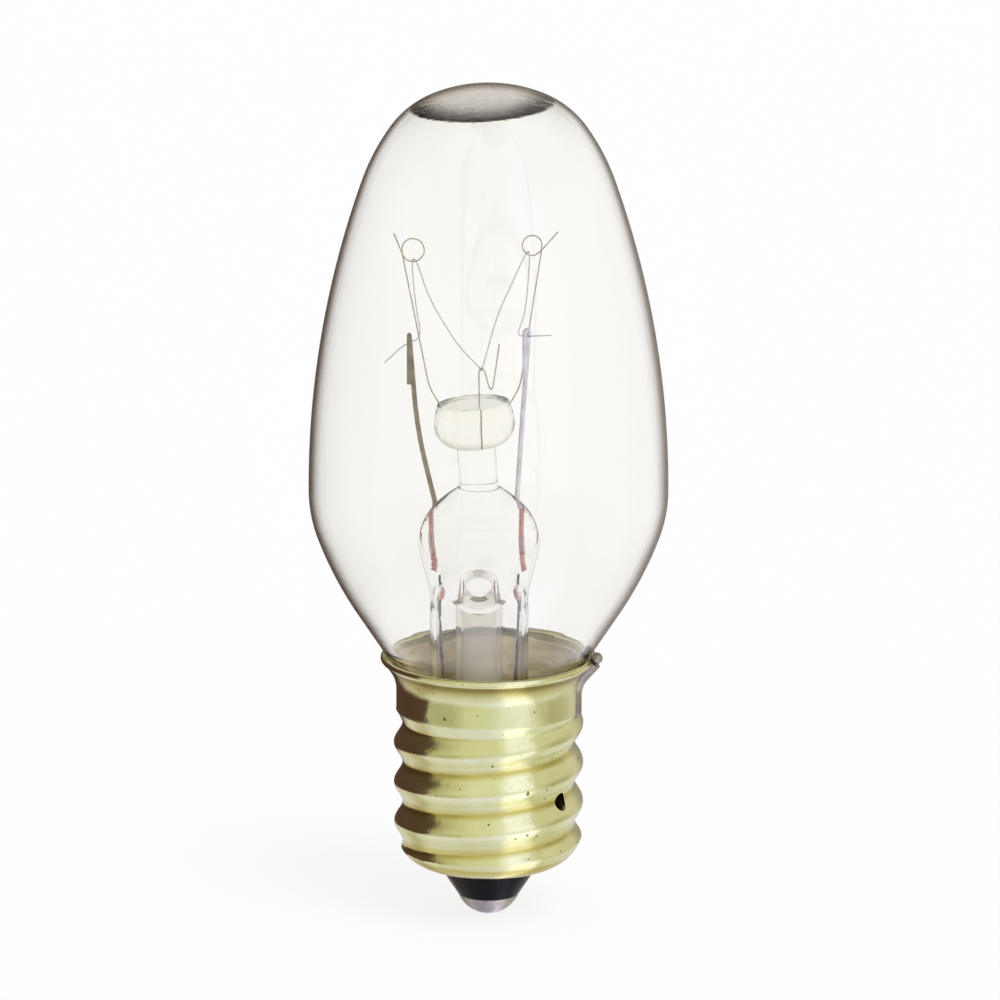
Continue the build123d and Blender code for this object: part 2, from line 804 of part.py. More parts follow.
# Screw shell with its pierced vent slot and the notch that the outer lead leaves in its rim
vent_plane = Plane(
    origin=polar(thread_crest_radius, vent_azimuth, vent_height),
    x_dir=(-sin(radians(vent_azimuth)), cos(radians(vent_azimuth)), 0),
    z_dir=(cos(radians(vent_azimuth)), sin(radians(vent_azimuth)), 0),
)
vent_depth = thread_crest_radius - thread_root_radius + 2 * shell_wall
with BuildPart() as base_shell:
    add(shell_form(0, 0))
    add(shell_cavity.part, mode=Mode.SUBTRACT)
    with BuildSketch(vent_plane):
        Ellipse(vent_width / 2, vent_length / 2, rotation=vent_tilt)
    extrude(amount=-vent_depth, mode=Mode.SUBTRACT)
    add(outer_lead_right.part, mode=Mode.SUBTRACT)
base_shell.part.label = "base_shell"

# Cement between the neck and the collar
cement_foot_height = collar_height + cement_bottom_rise
with BuildPart() as basing_cement:
    with BuildSketch(Plane.XY.offset(cement_foot_height)):
        Circle(rim_radius)
    extrude(amount=rim_height - cement_top_drop - cement_foot_height)
    add(collar_inside, mode=Mode.INTERSECT)
    add(envelope_form.part, mode=Mode.SUBTRACT)
    add(outer_lead_right.part, mode=Mode.SUBTRACT)
basing_cement.part.label = "basing_cement"

# Insulator: a plate pressed into the bottom of the shell, and a cone with a dished end below it
with BuildPart() as insulator:
    with BuildSketch(Plane.XY.offset(lip_height)):
        Circle(thread_crest_radius)
    extrude(amount=insulator_top_height - lip_height)
    add(shell_cavity.part, mode=Mode.INTERSECT)
    with BuildSketch(Plane.XZ):
        Polygon(
            (0, insulator_tip_height),
            (insulator_tip_radius, insulator_tip_height),
            (lip_radius, lip_height),
            (0, lip_height),
            align=None,
        )
    revolve(axis=Axis.Z)
    with BuildSketch(Plane.XZ):
        Polygon(
            (0, insulator_tip_height),
            (eyelet_barrel_radius, insulator_tip_height),
            (eyelet_barrel_radius, insulator_throat_height),
            (insulator_dish_radius, insulator_top_height),
            (0, insulator_top_height),
            align=None,
        )
    revolve(axis=Axis.Z, mode=Mode.SUBTRACT)
insulator.part.label = "insulator"

# Contact eyelet: a disc under the insulator and a barrel up its bore
eyelet_bore = eyelet_barrel_radius - eyelet_sheet
with BuildPart() as contact_eyelet:
    with BuildSketch(Plane.XY.offset(insulator_tip_height - eyelet_sheet)):
        Circle(eyelet_radius)
    extrude(amount=eyelet_sheet)
    with BuildSketch(Plane.XY.offset(insulator_tip_height)):
        Circle(eyelet_barrel_radius)
    extrude(amount=eyelet_barrel_length)
    with BuildSketch(Plane.XY.offset(insulator_tip_height - eyelet_sheet)):
        Circle(eyelet_bore)
    extrude(amount=eyelet_sheet + eyelet_barrel_length, mode=Mode.SUBTRACT)
contact_eyelet.part.label = "contact_eyelet"

# Solder over the eyelet: a dome with a small flat, and a plug up the barrel round the left lead
dome_width = insulator_tip_radius**2 - tip_flat_radius**2
dome_centre_height = (insulator_tip_height**2 + dome_width) / (2 * insulator_tip_height)
dome_radius = sqrt(tip_flat_radius**2 + dome_centre_height**2)
with BuildPart() as contact_solder:
    with BuildSketch(Plane.XZ):
        with BuildLine():
            dome = RadiusArc(
                (tip_flat_radius, 0), (insulator_tip_radius, insulator_tip_height), -dome_radius
            )
            Polyline(dome @ 1, (0, insulator_tip_height), (0, 0), dome @ 0)
        make_face()
    revolve(axis=Axis.Z)
    with BuildSketch(Plane.XY.offset(insulator_tip_height)):
        Circle(eyelet_bore)
    extrude(amount=solder_plug_length)
    add(contact_eyelet.part, mode=Mode.SUBTRACT)
    add(outer_lead_left.part, mode=Mode.SUBTRACT)
contact_solder.part.label = "contact_solder"

# Solder bead along the flare, with a knob over the end of the right outer lead
bead_path_radius = collar_radius - bead_sink
bead_corner_height = collar_top_height + flare_bend_radius * tan(radians(flare_angle) / 2)
bead_foot = polar(bead_path_radius, bead_azimuth, rim_height - bead_length)
bead_top = polar(rim_radius, bead_azimuth, rim_height)
with BuildPart() as side_solder:
    add(
        round_wire(
            [bead_foot, polar(bead_path_radius, bead_azimuth, bead_corner_height), bead_top],
            2 * bead_radius,
        )
    )
    with Locations(bead_foot):
        Sphere(bead_radius)
    with Locations(polar(rim_radius + bead_knob_reach, bead_azimuth, rim_height + bead_knob_rise)):
        Sphere(bead_knob_radius)
    add(collar_form(0, 0), mode=Mode.SUBTRACT)
    add(envelope_form.part, mode=Mode.SUBTRACT)
    add(outer_lead_right.part, mode=Mode.SUBTRACT)
side_solder.part.label = "side_solder"

export_step(glass_envelope.part, "parts/glass_envelope.step")
export_step(stem.part, "parts/stem.step")
export_step(exhaust_tube.part, "parts/exhaust_tube.step")
export_step(inner_lead_left.part, "parts/inner_lead_left.step")
export_step(inner_lead_right.part, "parts/inner_lead_right.step")
export_step(seal_wire_left.part, "parts/seal_wire_left.step")
export_step(seal_wire_right.part, "parts/seal_wire_right.step")
export_step(outer_lead_left.part, "parts/outer_lead_left.step")
export_step(outer_lead_right.part, "parts/outer_lead_right.step")
export_step(support_left.part, "parts/support_left.step")
export_step(support_right.part, "parts/support_right.step")
export_step(support_centre.part, "parts/support_centre.step")
export_step(filament.part, "parts/filament.step")
export_step(base_shell.part, "parts/base_shell.step")
export_step(basing_cement.part, "parts/basing_cement.step")
export_step(insulator.part, "parts/insulator.step")
export_step(contact_eyelet.part, "parts/contact_eyelet.step")
export_step(contact_solder.part, "parts/contact_solder.step")
export_step(side_solder.part, "parts/side_solder.step")
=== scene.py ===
import math

import bpy
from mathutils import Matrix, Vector


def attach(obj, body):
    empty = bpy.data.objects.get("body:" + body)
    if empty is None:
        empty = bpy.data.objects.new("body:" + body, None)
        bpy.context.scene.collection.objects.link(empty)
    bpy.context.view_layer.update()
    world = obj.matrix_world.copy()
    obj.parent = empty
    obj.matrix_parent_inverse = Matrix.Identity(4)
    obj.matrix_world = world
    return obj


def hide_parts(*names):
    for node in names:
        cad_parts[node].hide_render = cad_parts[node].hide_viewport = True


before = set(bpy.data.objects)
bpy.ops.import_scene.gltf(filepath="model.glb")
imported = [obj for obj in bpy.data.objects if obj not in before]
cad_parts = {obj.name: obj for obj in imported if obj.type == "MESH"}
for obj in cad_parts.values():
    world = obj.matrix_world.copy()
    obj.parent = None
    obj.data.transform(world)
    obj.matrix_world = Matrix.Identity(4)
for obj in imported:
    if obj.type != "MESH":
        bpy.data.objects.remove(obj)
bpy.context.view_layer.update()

MM = 0.001
TURN = 2 * math.pi

# Sizes of the CAD model, in millimetres and degrees; arcs are (radius, turn)
OVERALL = 52.2
BULB_R = 11.03
GLASS_WALL = 0.55
UPPER_ARCS = ((57.3, 19.6), (13.4, 15.9), (5.7, 31.2))
LOWER_ARCS = ((8.14, 20.1), (23.4, 13.1))
NECK_BEND = 3.0
NECK_R = 4.55
SEAL_Z = 8.6
PITCH = 2.54
CREST_R = 5.86
ROOT_R = 5.33
THREAD_Z = 2.1
LIMIT_GAP = 0.04
SHELL_WALL = 0.2
LIP_R = 3.1
LIP_Z = 3.1
BOTTOM_SLOPE = 10
CORNER_R = 2.5
RUNOUT_Z = 12.4
COLLAR_R = 5.7
COLLAR_Z = 13.2
COLLAR_LEN = 1.2
FLARE_BEND = 2.2
FLARE_ANGLE = 34
RIM_R = 6.66

# Sizes of the scene alone: thick crown, rim bead, vent, support wires and coil
CROWN_WALL = 1.12
CROWN_LEAN = 0.04
CROWN_REACH = 4.4
CROWN_DOME = 26.0
CROWN_TOUCH = 0.03
RIM_BEAD_R = 0.19
BEAD_START = -50
BEAD_SWEEP = 280
VENT_WIDTH = 0.95
VENT_LEN = 1.1
VENT_Z = 8.0
VENT_AZIMUTH = -35
VENT_TILT = -25
VENT_REACH = 1.2
SUPPORT_R = 0.045
SUPPORT_BEND = 0.6
COIL_R = 0.052
COIL_WIRE_R = 0.013
COIL_PITCH = 0.065
COIL_BEND = 1.3

# Fineness of the meshes
GLASS_SEGMENTS = 240
UPPER_STEPS = (40, 16, 28)
CROWN_STEPS = 28
LOWER_STEPS = (28, 24)
CONE_STEPS = 12
NECK_STEPS = 10
SHELL_SEGMENTS = 256
SHELL_ROWS = 150
FLARE_STEPS = 10
BEAD_STEPS = 14
LIP_STEP = 0.002
SUPPORT_SIDES = 12
COIL_SIDES = 5
COIL_STEPS = 10

# Camera: distance in mm, degrees above the horizon, aim in metres, and the picture's scale
CAMERA_DISTANCE = 430
CAMERA_ELEVATION = 14
CAMERA_AIM = (0, 0, 0.026)
PIXELS_PER_MM = 16.3
PICTURE_WIDTH = 1000
SENSOR_WIDTH = 36
LENS_SHIFT = (0.0115, 0.0055)

# Light round the lamp as glossy surfaces see it: (degrees, colour), 0 is the front, 90 the right
DARK_CARD = (0.09, 0.047, 0.04)
WALL_LIGHT = (
    (-180, (0.22, 0.2, 0.17)),
    (-160, DARK_CARD),
    (-78, DARK_CARD),
    (-75, (0.5, 0.5, 0.4)),
    (-45, (0.52, 0.52, 0.42)),
    (-25, (0.72, 0.73, 0.6)),
    (5, (0.76, 0.77, 0.78)),
    (24, (0.95, 0.97, 1.15)),
    (46, (0.97, 0.99, 1.2)),
    (62, (0.68, 0.68, 0.58)),
    (80, (0.5, 0.47, 0.4)),
    (105, (0.55, 0.52, 0.46)),
    (125, (0.7, 0.68, 0.7)),
    (150, (0.4, 0.37, 0.34)),
    (180, (0.22, 0.2, 0.17)),
)
FLOOR_LIGHT = (
    (-180, (0.6, 0.56, 0.6)),
    (-120, (0.75, 0.7, 0.75)),
    (-95, (0.55, 0.5, 0.45)),
    (-75, (0.8, 0.8, 0.95)),
    (0, (0.86, 0.88, 1.25)),
    (16, (0.95, 0.97, 1.4)),
    (24, (1.4, 1.4, 1.9)),
    (48, (1.35, 1.35, 1.8)),
    (60, (0.75, 0.76, 0.8)),
    (120, (0.8, 0.8, 0.92)),
    (180, (0.6, 0.56, 0.6)),
)
CEILING_LIGHT = (
    (-180, (0.4, 0.36, 0.34)),
    (-150, (0.1, 0.06, 0.05)),
    (-88, (0.085, 0.05, 0.04)),
    (-74, (0.5, 0.46, 0.32)),
    (-40, (0.75, 0.74, 0.62)),
    (12, (0.8, 0.8, 0.72)),
    (24, (1.15, 1.15, 1.55)),
    (48, (1.1, 1.1, 1.5)),
    (62, (0.68, 0.66, 0.55)),
    (130, (0.7, 0.66, 0.6)),
    (180, (0.4, 0.36, 0.34)),
)
# Dim ceiling that shows through the glass
BEHIND_GLASS_HIGH = (0.35, 0.3, 0.235)
# Plain light, and the share of white in what the camera sees of the floor
AMBIENT_STRENGTH = 0.6
KEY_ENERGY = 1.7
KEY_SPREAD = 35
KEY_WAY = (-0.5, 0.6, -0.9)
FLOOR_WHITE = 0.84


def mesh_object(name, verts, faces, smooth=True):
    """Mesh from millimetre points."""
    mesh = bpy.data.meshes.new(name)
    mesh.from_pydata([(x * MM, y * MM, z * MM) for x, y, z in verts], [], faces)
    mesh.update()
    if smooth:
        mesh.polygons.foreach_set("use_smooth", [True] * len(mesh.polygons))
    obj = bpy.data.objects.new(name, mesh)
    bpy.context.collection.objects.link(obj)
    return obj


def arc(cx, cz, radius, start, end, count):
    """Points on an arc, angles in degrees."""
    return [
        (
            cx + radius * math.cos(math.radians(start + (end - start) * i / count)),
            cz + radius * math.sin(math.radians(start + (end - start) * i / count)),
        )
        for i in range(count + 1)
    ]


def straight(start, end, count):
    """Points on a line, without its start."""
    return [
        (start[0] + (end[0] - start[0]) * i / count, start[1] + (end[1] - start[1]) * i / count)
        for i in range(1, count + 1)
    ]


def bulb_outline(inset):
    """Half outline of the bulb from the crown to the foot of the neck."""
    sizes = [r - inset for r, _ in UPPER_ARCS]
    turns = [t for _, t in UPPER_ARCS]
    brow_angle = sum(turns)
    outer_x = BULB_R
    angle = 0
    rise = 0
    for radius, turn in UPPER_ARCS:
        nxt = angle + turn
        outer_x -= radius * (math.cos(math.radians(angle)) - math.cos(math.radians(nxt)))
        rise += radius * (math.sin(math.radians(nxt)) - math.sin(math.radians(angle)))
        angle = nxt
    crown = outer_x / math.cos(math.radians(brow_angle))
    rise += crown * (1 - math.sin(math.radians(brow_angle)))
    widest = OVERALL - rise
    # upper half, from the widest ring up
    upper = [(BULB_R - inset, widest)]
    x, z, angle = BULB_R - inset, widest, 0
    for radius, turn, count in zip(sizes, turns, UPPER_STEPS):
        cx = x - radius * math.cos(math.radians(angle))
        cz = z - radius * math.sin(math.radians(angle))
        points = arc(cx, cz, radius, angle, angle + turn, count)
        upper += points[1:]
        x, z = points[-1]
        angle += turn
    radius = crown - inset
    cz = z - radius * math.sin(math.radians(angle))
    upper += arc(0, cz, radius, angle, 90, CROWN_STEPS)[1:]
    # lower half, from the widest ring down
    lower = []
    x, z, angle = BULB_R - inset, widest, 0
    for (size, turn), count in zip(LOWER_ARCS, LOWER_STEPS):
        radius = size - inset
        cx = x - radius * math.cos(math.radians(angle))
        cz = z - radius * math.sin(math.radians(angle))
        points = arc(cx, cz, radius, angle, angle - turn, count)
        lower += points[1:]
        x, z = points[-1]
        angle -= turn
    cone = -angle
    bend = NECK_BEND + inset
    cone_end = NECK_R - inset + bend * (1 - math.cos(math.radians(cone)))
    run = (x - cone_end) / math.sin(math.radians(cone))
    start = (x, z)
    x -= run * math.sin(math.radians(cone))
    z -= run * math.cos(math.radians(cone))
    lower += straight(start, (x, z), CONE_STEPS)
    cx, cz = x + bend * math.cos(math.radians(cone)), z - bend * math.sin(math.radians(cone))
    lower += arc(cx, cz, bend, 180 - cone, 180, NECK_STEPS)[1:]
    lower += straight(lower[-1], (lower[-1][0], SEAL_Z), NECK_STEPS)
    return upper[::-1] + lower


def crown_floor(x):
    """Height of the hollow's flatter top under the thick crown."""
    return OVERALL - CROWN_WALL - CROWN_DOME + math.sqrt(CROWN_DOME**2 - x**2)


def leaning_floor(x, y):
    """Height of the hollow's top: lower on the left, where the crown is thickest."""
    return crown_floor(math.hypot(x, y)) - CROWN_LEAN * (CROWN_REACH - x)


def lathe(name, profile, segments):
    """Turned surface from (radius, height) points; points on the axis become poles."""
    verts, faces, rings = [], [], []
    for radius, height in profile:
        if abs(radius) < 1e-6:
            rings.append([len(verts)])
            verts.append((0, 0, height))
            continue
        rings.append(list(range(len(verts), len(verts) + segments)))
        for s in range(segments):
            a = TURN * s / segments
            verts.append((radius * math.cos(a), radius * math.sin(a), height))
    for a, b in zip(rings, rings[1:]):
        for s in range(segments):
            t = (s + 1) % segments
            if len(a) == 1:
                faces.append((a[0], b[s], b[t]))
            elif len(b) == 1:
                faces.append((a[s], b[0], a[t]))
            else:
                faces.append((a[s], b[s], b[t], a[t]))
    return mesh_object(name, verts, faces)


def sharpen(obj, degrees):
    """Smooth shading with sharp edges over an angle."""
    obj.data.update()
    obj.data.set_sharp_from_angle(angle=math.radians(degrees))


# Materials
def material(name, **values):
    """Material with a Principled shader; underscores stand for spaces in socket names."""
    mat = bpy.data.materials.new(name)
    mat.use_nodes = True
    nodes, links = mat.node_tree.nodes, mat.node_tree.links
    shader = nodes["Principled BSDF"]
    for key, value in values.items():
        shader.inputs[key.replace("_", " ")].default_value = value
    return mat, nodes, links, shader


def lets_lamps_through(mat, nodes, links, shader):
    """Glass that casts no solid shadow."""
    path = nodes.new("ShaderNodeLightPath")
    clear = nodes.new("ShaderNodeBsdfTransparent")
    mix = nodes.new("ShaderNodeMixShader")
    links.new(path.outputs["Is Shadow Ray"], mix.inputs[0])
    links.new(shader.outputs[0], mix.inputs[1])
    links.new(clear.outputs[0], mix.inputs[2])
    links.new(mix.outputs[0], nodes["Material Output"].inputs["Surface"])


def ramp_of(nodes, links, source, stops):
    """Colour ramp from (place, colour) stops; a bare number is a grey."""
    ramp = nodes.new("ShaderNodeValToRGB")
    while len(ramp.color_ramp.elements) < len(stops):
        ramp.color_ramp.elements.new(0.5)
    for element, (place, colour) in zip(ramp.color_ramp.elements, stops):
        if not isinstance(colour, tuple):
            colour = (colour,) * 3
        element.position = place
        element.color = (*colour, 1)
    links.new(source, ramp.inputs[0])
    return ramp.outputs[0]


def painted_edge_shade(nodes, links, stops):
    """Painted shade: darkens the colour where the surface turns away from the view."""
    facing = nodes.new("ShaderNodeLayerWeight")
    facing.inputs["Blend"].default_value = 0.5
    side = nodes.new("ShaderNodeNewGeometry")
    outside = nodes.new("ShaderNodeMath")
    outside.operation = "SUBTRACT"
    links.new(facing.outputs["Facing"], outside.inputs[0])
    links.new(side.outputs["Backfacing"], outside.inputs[1])
    return ramp_of(nodes, links, outside.outputs[0], stops)


def noise_of(nodes, links, scale, detail=4, rough=0.55, stretch=(1, 1, 1)):
    """Noise that is fixed to the object."""
    coords = nodes.new("ShaderNodeTexCoord")
    mapping = nodes.new("ShaderNodeMapping")
    mapping.inputs["Scale"].default_value = stretch
    noise = nodes.new("ShaderNodeTexNoise")
    noise.inputs["Scale"].default_value = scale
    noise.inputs["Detail"].default_value = detail
    noise.inputs["Roughness"].default_value = rough
    links.new(coords.outputs["Object"], mapping.inputs[0])
    links.new(mapping.outputs[0], noise.inputs["Vector"])
    return noise.outputs["Fac"]


def multiply(nodes, links, first, second):
    """Two colours multiplied."""
    mixer = nodes.new("ShaderNodeMix")
    mixer.data_type = "RGBA"
    mixer.blend_type = "MULTIPLY"
    mixer.inputs[0].default_value = 1.0
    links.new(first, mixer.inputs[6])
    links.new(second, mixer.inputs[7])
    return mixer.outputs[2]


def bump_of(nodes, links, shader, height, distance, strength=1.0):
    """Bump on the shader from a height."""
    bump = nodes.new("ShaderNodeBump")
    bump.inputs["Distance"].default_value = distance
    bump.inputs["Strength"].default_value = strength
    links.new(height, bump.inputs["Height"])
    links.new(bump.outputs[0], shader.inputs["Normal"])


def by_height(nodes, links, low, high, stops):
    """Ramp of colours over heights in mm."""
    where = nodes.new("ShaderNodeTexCoord")
    parts = nodes.new("ShaderNodeSeparateXYZ")
    links.new(where.outputs["Object"], parts.inputs[0])
    rise = nodes.new("ShaderNodeMapRange")
    rise.inputs["From Min"].default_value = low * MM
    rise.inputs["From Max"].default_value = high * MM
    links.new(parts.outputs["Z"], rise.inputs["Value"])
    return ramp_of(nodes, links, rise.outputs["Result"], stops)


def mottled(name, scale, dark, light, span=(0.3, 0.7), stretch=(1, 1, 1), **values):
    """Material whose colour wanders between two tones."""
    mat, nodes, links, shader = material(name, **values)
    grain = noise_of(nodes, links, scale, detail=6, stretch=stretch)
    tone = ramp_of(nodes, links, grain, [(span[0], dark), (span[1], light)])
    links.new(tone, shader.inputs["Base Color"])
    return mat, nodes, links, shader, grain


BULB_GLASS = {"Transmission_Weight": 1.0, "IOR": 1.48, "Specular_IOR_Level": 0.2}
glass_mat, n, l, p = material("clear glass", Roughness=0.0, **BULB_GLASS)
# Painted shade: the clear glass darkens to grey-brown towards its edges as seen from the view
painted_edge = painted_edge_shade(
    n,
    l,
    [
        (0.30, (0.99, 0.985, 0.96)),
        (0.57, (0.95, 0.94, 0.91)),
        (0.66, (0.84, 0.81, 0.77)),
        (0.70, (0.62, 0.58, 0.53)),
        (0.74, (0.34, 0.30, 0.26)),
        (0.79, (0.11, 0.09, 0.07)),
        (0.84, (0.04, 0.03, 0.022)),
        (1.00, (0.03, 0.024, 0.016)),
    ],
)
streaks = noise_of(n, l, 140, detail=3, stretch=(1, 1, 0.06))
streak_tint = ramp_of(n, l, streaks, [(0.35, 0.955), (0.6, 1.0)])
l.new(multiply(n, l, painted_edge, streak_tint), p.inputs["Base Color"])
bump_of(n, l, p, noise_of(n, l, 130, detail=2, stretch=(1, 1, 0.5)), 0.00002, 0.6)
lets_lamps_through(glass_mat, n, l, p)

inside_glass_mat, n, l, p = material(
    "clear glass inside", Base_Color=(0.995, 0.992, 0.98, 1), Roughness=0.0, **BULB_GLASS
)
lets_lamps_through(inside_glass_mat, n, l, p)

crown_glass_mat, n, l, p = material(
    "thick glass at the crown", Base_Color=(1.0, 0.87, 0.7, 1), Roughness=0.12, **BULB_GLASS
)
bump_of(n, l, p, noise_of(n, l, 700, detail=5, stretch=(0.4, 1.6, 1)), 0.00015, 1.0)
lets_lamps_through(crown_glass_mat, n, l, p)

stem_mat, n, l, p = material(
    "stem glass", Roughness=0.0, Transmission_Weight=1.0, IOR=1.32, Specular_IOR_Level=0.3
)
# Painted shade: the stem glass darkens towards its edges as seen from the view
painted_edge = painted_edge_shade(
    n,
    l,
    [(0.50, (0.99, 0.985, 0.98)), (0.75, (0.72, 0.71, 0.68)), (0.9, (0.3, 0.29, 0.27))],
)
button_tint = by_height(n, l, 28.5, 31.0, [(0.0, 1.0), (1.0, (0.985, 0.98, 0.925))])
l.new(multiply(n, l, painted_edge, button_tint), p.inputs["Base Color"])
bump_of(n, l, p, noise_of(n, l, 420, detail=3), 0.00005, 0.8)
lets_lamps_through(stem_mat, n, l, p)

tube_mat, n, l, p = material(
    "tube glass", Roughness=0.0, Transmission_Weight=0.8, IOR=1.06, Specular_IOR_Level=0.3
)
# Painted shade: the tube glass darkens a little towards its edges as seen from the view
painted_edge = painted_edge_shade(n, l, [(0.6, (1.0, 0.975, 0.91)), (0.95, (0.85, 0.82, 0.76))])
l.new(painted_edge, p.inputs["Base Color"])
lets_lamps_through(tube_mat, n, l, p)

brass_mat, n, l, p = mottled(
    "pale brass", 420, (0.77, 0.765, 0.37), (0.88, 0.885, 0.5), Metallic=1.0
)[:4]
tone = p.inputs["Base Color"].links[0].from_socket
pits = noise_of(n, l, 2300, detail=1)
pit_mask = ramp_of(n, l, pits, [(0.225, (0.3, 0.2, 0.1)), (0.27, 1.0)])
spots = noise_of(n, l, 620, detail=2)
spot_mask = ramp_of(n, l, spots, [(0.19, (0.2, 0.12, 0.06)), (0.25, 1.0)])
# Painted shade: a dark line painted into the brass colour under the rolled rim
painted_rim_shade = by_height(
    n,
    l,
    14.0,
    17.0,
    [
        (0.30, 1.0),
        (0.42, (0.86, 0.83, 0.66)),
        (0.53, (0.66, 0.6, 0.36)),
        (0.62, (0.36, 0.29, 0.13)),
        (0.68, (0.36, 0.29, 0.13)),
        (0.71, 1.0),
    ],
)
marks_and_painted_shade = multiply(n, l, multiply(n, l, pit_mask, spot_mask), painted_rim_shade)
# Painted shade: darker yellow painted into the thread's roots
coords = n.new("ShaderNodeTexCoord")
level_out = n.new("ShaderNodeVectorMath")
level_out.operation = "MULTIPLY"
level_out.inputs[1].default_value = (1, 1, 0)
l.new(coords.outputs["Object"], level_out.inputs[0])
radius = n.new("ShaderNodeVectorMath")
radius.operation = "LENGTH"
l.new(level_out.outputs[0], radius.inputs[0])
depth = n.new("ShaderNodeMapRange")
depth.inputs["From Min"].default_value = ROOT_R * MM
depth.inputs["From Max"].default_value = CREST_R * MM
l.new(radius.outputs["Value"], depth.inputs["Value"])
painted_root_shade_stops = [(0.0, (0.8, 0.7, 0.4)), (0.07, (0.86, 0.8, 0.58)), (0.22, 1.0)]
painted_root_shade = ramp_of(n, l, depth.outputs["Result"], painted_root_shade_stops)
marks_and_painted_shade = multiply(n, l, marks_and_painted_shade, painted_root_shade)
# Brass colour: its mottled tone times the pits, the spots and the painted shade
l.new(multiply(n, l, tone, marks_and_painted_shade), p.inputs["Base Color"])
streak = noise_of(n, l, 500, detail=5, stretch=(1, 1, 0.3))
l.new(ramp_of(n, l, streak, [(0.3, 0.13), (0.75, 0.24)]), p.inputs["Roughness"])
bump_of(n, l, p, noise_of(n, l, 300, detail=4), 0.00012, 0.8)

inside_brass_mat, n, l, p, grain = mottled(
    "dull brass inside", 500, (0.36, 0.31, 0.08), (0.72, 0.66, 0.27), Metallic=0.8, Roughness=0.42
)
bump_of(n, l, p, grain, 0.00006)

insulator_mat, n, l, p = material(
    "black glass", Base_Color=(0.004, 0.0035, 0.0025, 1), Roughness=0.2, Specular_IOR_Level=0.08
)
bump_of(n, l, p, noise_of(n, l, 500, detail=3), 0.00005, 0.5)

solder_mat, n, l, p, lump = mottled(
    "solder", 700, (0.27, 0.23, 0.19), (0.56, 0.5, 0.4), Metallic=0.85, Roughness=0.4
)
bump_of(n, l, p, lump, 0.00012)

cement_mat, n, l, p, grain = mottled(
    "cement", 700, (0.4, 0.31, 0.14), (1.0, 0.87, 0.5), stretch=(0.4, 0.4, 2), Roughness=0.85
)
bump_of(n, l, p, grain, 0.0001)


def wire_metal(name, scale, dark, light, metallic, roughness):
    """Mottled metal of a wire."""
    return mottled(name, scale, dark, light, Metallic=metallic, Roughness=roughness)[0]


lead_mat = wire_metal("nickel lead", 1300, (0.19, 0.15, 0.105), (0.44, 0.36, 0.27), 0.6, 0.45)
pale_lead_mat = wire_metal(
    "bright nickel lead", 1300, (0.58, 0.54, 0.6), (0.9, 0.86, 0.96), 0.3, 0.4
)
copper_mat = wire_metal("copper clad wire", 1500, (0.62, 0.24, 0.2), (0.9, 0.52, 0.48), 0.2, 0.45)
dark_lead_mat = wire_metal("dark lead", 1500, (0.07, 0.045, 0.035), (0.18, 0.125, 0.09), 0.1, 0.7)
support_mat = wire_metal("support wire", 2500, (0.42, 0.37, 0.27), (0.74, 0.68, 0.54), 0.5, 0.4)
filament_mat = wire_metal("filament wire", 4000, (0.4, 0.39, 0.37), (0.66, 0.64, 0.61), 0.6, 0.45)

# Glass envelope; its first ring is the pole of the crown
INSIDE, CROWN = 1, 2
outer = bulb_outline(0)
inner = [(x, min(z, crown_floor(x))) for x, z in bulb_outline(GLASS_WALL)]
envelope = lathe("bulb_glass", outer + inner[::-1], GLASS_SEGMENTS)
outer_faces = (len(outer) - 1) * GLASS_SEGMENTS
for vertex in envelope.data.vertices[1 + outer_faces :]:
    x, y, z = vertex.co / MM
    vertex.co.z = min(z, leaning_floor(x, y)) * MM
sharpen(envelope, 25)
for mat in (glass_mat, inside_glass_mat, crown_glass_mat):
    envelope.data.materials.append(mat)
for face in envelope.data.polygons[outer_faces:]:
    x, y, z = face.center / MM
    face.material_index = CROWN if abs(z - leaning_floor(x, y)) < CROWN_TOUCH else INSIDE
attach(envelope, "root")
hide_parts("glass_envelope")


# Screw shell
def limit_radius(z, inset):
    """Largest radius of the turned limit form at a height."""
    slope = math.radians(BOTTOM_SLOPE)
    limit = CREST_R + LIMIT_GAP
    corner_x = limit - CORNER_R * (1 - math.sin(slope))
    corner_z = LIP_Z + (corner_x - LIP_R) * math.tan(slope)
    cx = corner_x - CORNER_R * math.sin(slope)
    cz = corner_z + CORNER_R * math.cos(slope)
    reach = CORNER_R - inset
    start_z = cz - reach * math.cos(slope)
    start_x = cx + reach * math.sin(slope)
    if z <= start_z:
        return start_x - (start_z - z) / math.tan(slope)
    if z <= cz:
        return cx + math.sqrt(max(reach * reach - (cz - z) ** 2, 0))
    if z <= RUNOUT_Z:
        return limit - inset
    share = (z - RUNOUT_Z) / (COLLAR_Z - RUNOUT_Z)
    return limit - inset + (COLLAR_R - limit) * share


def thread_radius(theta, z, inset):
    """Radius of a circle carried round a small helix, seen from the lamp's axis."""
    mid = (CREST_R + ROOT_R) / 2 - inset
    swing = (CREST_R - ROOT_R) / 2
    phase = TURN * (z - THREAD_Z) / PITCH
    d = theta - phase
    return swing * math.cos(d) + math.sqrt(mid * mid - (swing * math.sin(d)) ** 2)


def collar_radius(z, inset):
    """Radius of the run-out and the collar at a height, or 0 below them."""
    if z < RUNOUT_Z:
        return 0
    if z < COLLAR_Z:
        return ROOT_R - inset + (COLLAR_R - ROOT_R) * (z - RUNOUT_Z) / (COLLAR_Z - RUNOUT_Z)
    return COLLAR_R - inset


